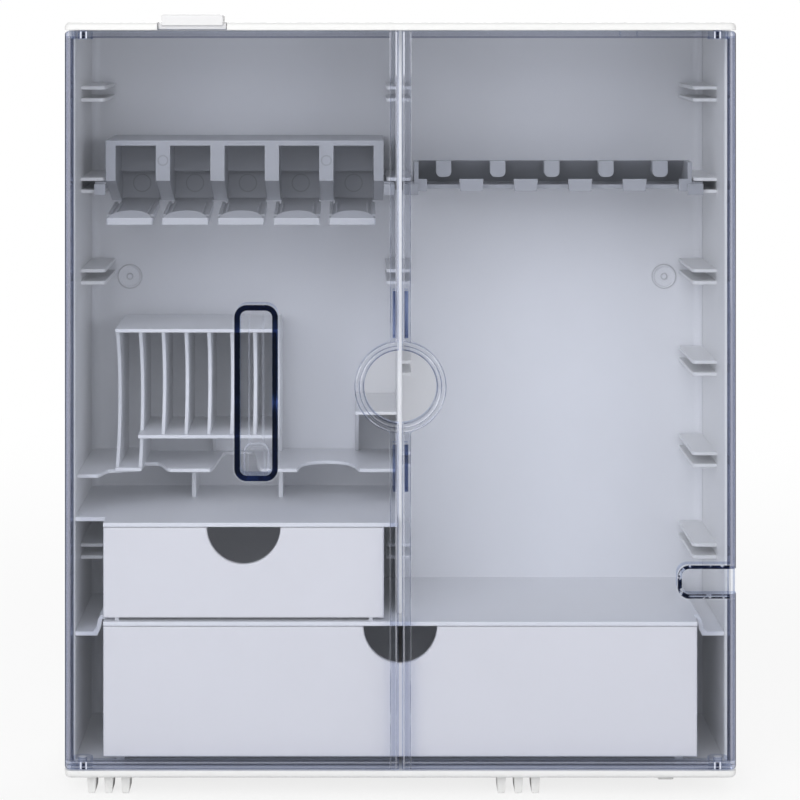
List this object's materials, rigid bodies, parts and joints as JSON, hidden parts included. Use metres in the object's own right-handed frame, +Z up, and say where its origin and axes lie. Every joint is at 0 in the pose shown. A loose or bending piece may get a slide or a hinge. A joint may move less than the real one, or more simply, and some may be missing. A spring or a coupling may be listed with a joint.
{
  "type": "sewing accessory box",
  "caption": "Free-standing cabinet for sewing accessories with clear double doors, drawers, a bobbin rack, a presser foot rack and a slotted bin.",
  "frame": {"origin": "middle of the bounding box, on the surface that the feet stand on", "axes": "+Z up, +Y from the doors to the back wall, +X to the right as seen from the front"},
  "size_m": [0.2422, 0.085, 0.2821],
  "materials": {
    "shell": "fine satin moulding",
    "inner": "fine satin moulding",
    "door": "clear tinted, polished",
    "rack": "satin grey moulding",
    "drawer": "satin moulding",
    "bin": "satin white moulding",
    "clip": "satin moulding",
    "foot": "satin moulding",
    "pin": "turned",
    "pad": "matt"
  },
  "bodies": {
    "casing": {"casing_top": "shell", "casing_base": "shell", "casing_left_side": "shell", "casing_right_side": "shell", "casing_back": "shell", "divider": "inner", "mid_shelf": "inner", "upper_shelf": "inner", "left_hinge_pins": "shell", "right_hinge_pins": "shell", "bobbin_rack": "rack", "presser_foot_rack": "rack", "slotted_bin": "bin", "scalloped_tray": "bin", "top_clip": "clip", "left_front_prongs": "foot", "right_front_prongs": "foot", "base_pad": "pad", "swivel_foot_pins": "pin"},
    "left_door": {"left_door": "door"},
    "right_door": {"right_door": "door"},
    "small_drawer": {"small_drawer": "drawer"},
    "large_drawer": {"large_drawer": "drawer"},
    "left_swivel_foot": {"left_swivel_foot": "foot"},
    "right_swivel_foot": {"right_swivel_foot": "foot"},
    "bobbin_flap_1": {"bobbin_flap_1": "rack"},
    "bobbin_flap_2": {"bobbin_flap_2": "rack"},
    "bobbin_flap_3": {"bobbin_flap_3": "rack"},
    "bobbin_flap_4": {"bobbin_flap_4": "rack"},
    "bobbin_flap_5": {"bobbin_flap_5": "rack"}
  },
  "joints": [
    {"name": "left_door_hinge", "type": "hinge", "parent": "casing", "child": "left_door", "pos_m": [-0.1151, -0.0355, 0.14315], "axis": [0, 0, -1], "range_deg": [0, 165]},
    {"name": "right_door_hinge", "type": "hinge", "parent": "casing", "child": "right_door", "pos_m": [0.1151, -0.0355, 0.14315], "axis": [0, 0, 1], "range_deg": [0, 165]},
    {"name": "small_drawer_slide", "type": "slide", "parent": "casing", "child": "small_drawer", "axis": [0, -1, 0], "range_m": [0, 0.04033]},
    {"name": "large_drawer_slide", "type": "slide", "parent": "casing", "child": "large_drawer", "axis": [0, -1, 0], "range_m": [0, 0.04033]},
    {"name": "left_foot_swivel", "type": "hinge", "parent": "casing", "child": "left_swivel_foot", "pos_m": [-0.1071, 0.0305, 0.0035], "axis": [0, 0, 1], "range_deg": [0, 90]},
    {"name": "right_foot_swivel", "type": "hinge", "parent": "casing", "child": "right_swivel_foot", "pos_m": [0.1071, 0.0305, 0.0035], "axis": [0, 0, -1], "range_deg": [0, 90]},
    {"name": "bobbin_flap_1_press", "type": "hinge", "parent": "casing", "child": "bobbin_flap_1", "pos_m": [-0.0981, 0.0232, 0.2108], "axis": [1, 0, 0], "range_deg": [0, 6], "stiffness_Nm_per_rad": 0.8},
    {"name": "bobbin_flap_2_press", "type": "hinge", "parent": "casing", "child": "bobbin_flap_2", "pos_m": [-0.0778, 0.0232, 0.2108], "axis": [1, 0, 0], "range_deg": [0, 6], "stiffness_Nm_per_rad": 0.8},
    {"name": "bobbin_flap_3_press", "type": "hinge", "parent": "casing", "child": "bobbin_flap_3", "pos_m": [-0.0575, 0.0232, 0.2108], "axis": [1, 0, 0], "range_deg": [0, 6], "stiffness_Nm_per_rad": 0.8},
    {"name": "bobbin_flap_4_press", "type": "hinge", "parent": "casing", "child": "bobbin_flap_4", "pos_m": [-0.0372, 0.0232, 0.2108], "axis": [1, 0, 0], "range_deg": [0, 6], "stiffness_Nm_per_rad": 0.8},
    {"name": "bobbin_flap_5_press", "type": "hinge", "parent": "casing", "child": "bobbin_flap_5", "pos_m": [-0.0169, 0.0232, 0.2108], "axis": [1, 0, 0], "range_deg": [0, 6], "stiffness_Nm_per_rad": 0.8}
  ],
  "couplings": [
    {"joint": "right_door_hinge", "follows": "left_door_hinge", "ratio": 1},
    {"joint": "small_drawer_slide", "follows": "left_door_hinge", "m_per_rad": 0.014},
    {"joint": "large_drawer_slide", "follows": "left_door_hinge", "m_per_rad": 0.014}
  ]
}
